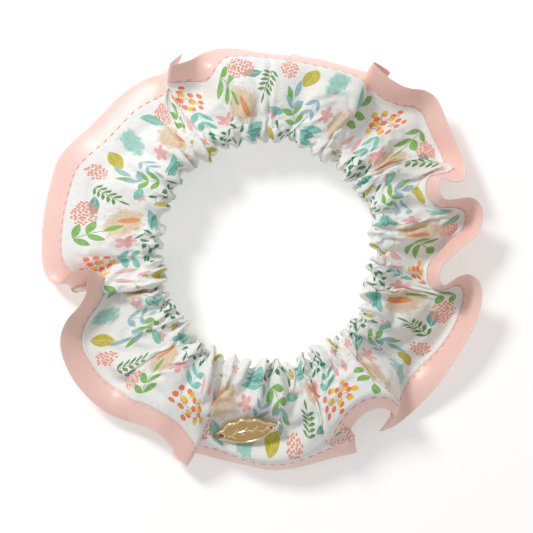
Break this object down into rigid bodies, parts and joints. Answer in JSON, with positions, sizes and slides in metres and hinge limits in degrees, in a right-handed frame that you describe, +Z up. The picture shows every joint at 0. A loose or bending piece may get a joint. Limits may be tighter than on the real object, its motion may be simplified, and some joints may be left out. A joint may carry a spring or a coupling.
{
  "type": "fabric scrunchie hair tie",
  "caption": "Gathered floral cotton scrunchie on a hidden flat elastic, with a satin ribbon sewn along its ruffled edge and a small metal tag; it stretches evenly.",
  "frame": {"origin": "on the surface that the loop lies on, under the middle of its open centre", "axes": "+Z up out of the surface, -Y towards the front where the tag is, +X to the right seen from above"},
  "size_m": [0.118, 0.118, 0.017],
  "materials": {
    "cotton_print": "matte",
    "satin_ribbon": "satin",
    "elastic_band": "matte",
    "pink_thread": "matte",
    "white_thread": "matte",
    "brown_thread": "matte",
    "tag_metal": "satin"
  },
  "bodies": {
    "front": {"cover_front": "cotton_print", "ribbon_front": "satin_ribbon", "elastic_front": "elastic_band", "edge_stitching_front": "pink_thread", "tag_thread_left": "brown_thread", "tag_thread_right": "white_thread"},
    "front_right": {"cover_front_right": "cotton_print", "ribbon_front_right": "satin_ribbon", "elastic_front_right": "elastic_band", "edge_stitching_front_right": "pink_thread"},
    "right": {"cover_right": "cotton_print", "ribbon_right": "satin_ribbon", "elastic_right": "elastic_band", "edge_stitching_right": "pink_thread"},
    "back_right": {"cover_back_right": "cotton_print", "ribbon_back_right": "satin_ribbon", "elastic_back_right": "elastic_band", "edge_stitching_back_right": "pink_thread"},
    "back_end_right": {"cover_back_end_right": "cotton_print", "ribbon_back_end_right": "satin_ribbon", "elastic_back_end_right": "elastic_band", "edge_stitching_back_end_right": "pink_thread", "closing_seam_stitching": "white_thread"},
    "back_end_left": {"cover_back_end_left": "cotton_print", "ribbon_back_end_left": "satin_ribbon", "elastic_back_end_left": "elastic_band", "edge_stitching_back_end_left": "pink_thread", "elastic_join_stitching": "white_thread"},
    "back_left": {"cover_back_left": "cotton_print", "ribbon_back_left": "satin_ribbon", "elastic_back_left": "elastic_band", "edge_stitching_back_left": "pink_thread"},
    "left": {"cover_left": "cotton_print", "ribbon_left": "satin_ribbon", "elastic_left": "elastic_band", "edge_stitching_left": "pink_thread"},
    "front_left": {"cover_front_left": "cotton_print", "ribbon_front_left": "satin_ribbon", "elastic_front_left": "elastic_band", "edge_stitching_front_left": "pink_thread"},
    "tag": {"tag_plate": "tag_metal"}
  },
  "joints": [
    {"name": "stretch_front_right", "type": "slide", "parent": "front", "child": "front_right", "axis": [0.9239, 0.3827, 0], "range_m": [0, 0.00918], "stiffness_N_per_m": 150},
    {"name": "stretch_right", "type": "slide", "parent": "front_right", "child": "right", "axis": [0.3827, 0.9239, 0], "range_m": [0, 0.00918], "stiffness_N_per_m": 150},
    {"name": "stretch_back_right", "type": "slide", "parent": "right", "child": "back_right", "axis": [-0.3827, 0.9239, 0], "range_m": [0, 0.00918], "stiffness_N_per_m": 150},
    {"name": "stretch_back_end_right", "type": "slide", "parent": "back_right", "child": "back_end_right", "axis": [-0.9239, 0.3827, 0], "range_m": [0, 0.00918], "stiffness_N_per_m": 150},
    {"name": "stretch_front_left", "type": "slide", "parent": "front", "child": "front_left", "axis": [-0.9239, 0.3827, 0], "range_m": [0, 0.00918], "stiffness_N_per_m": 150},
    {"name": "stretch_left", "type": "slide", "parent": "front_left", "child": "left", "axis": [-0.3827, 0.9239, 0], "range_m": [0, 0.00918], "stiffness_N_per_m": 150},
    {"name": "stretch_back_left", "type": "slide", "parent": "left", "child": "back_left", "axis": [0.3827, 0.9239, 0], "range_m": [0, 0.00918], "stiffness_N_per_m": 150},
    {"name": "stretch_back_end_left", "type": "slide", "parent": "back_left", "child": "back_end_left", "axis": [0.9239, 0.3827, 0], "range_m": [0, 0.00918], "stiffness_N_per_m": 150},
    {"name": "tag_rock", "type": "hinge", "parent": "front", "child": "tag", "pos_m": [-0.0052, -0.04825, 0.01154], "axis": [0.9763, 0.1734, 0.1296], "range_deg": [-8, 8], "stiffness_Nm_per_rad": 0.0001}
  ],
  "couplings": [
    {"joint": "stretch_right", "follows": "stretch_front_right", "ratio": 1},
    {"joint": "stretch_back_right", "follows": "stretch_front_right", "ratio": 1},
    {"joint": "stretch_back_end_right", "follows": "stretch_front_right", "ratio": 1},
    {"joint": "stretch_front_left", "follows": "stretch_front_right", "ratio": 1},
    {"joint": "stretch_left", "follows": "stretch_front_right", "ratio": 1},
    {"joint": "stretch_back_left", "follows": "stretch_front_right", "ratio": 1},
    {"joint": "stretch_back_end_left", "follows": "stretch_front_right", "ratio": 1}
  ]
}
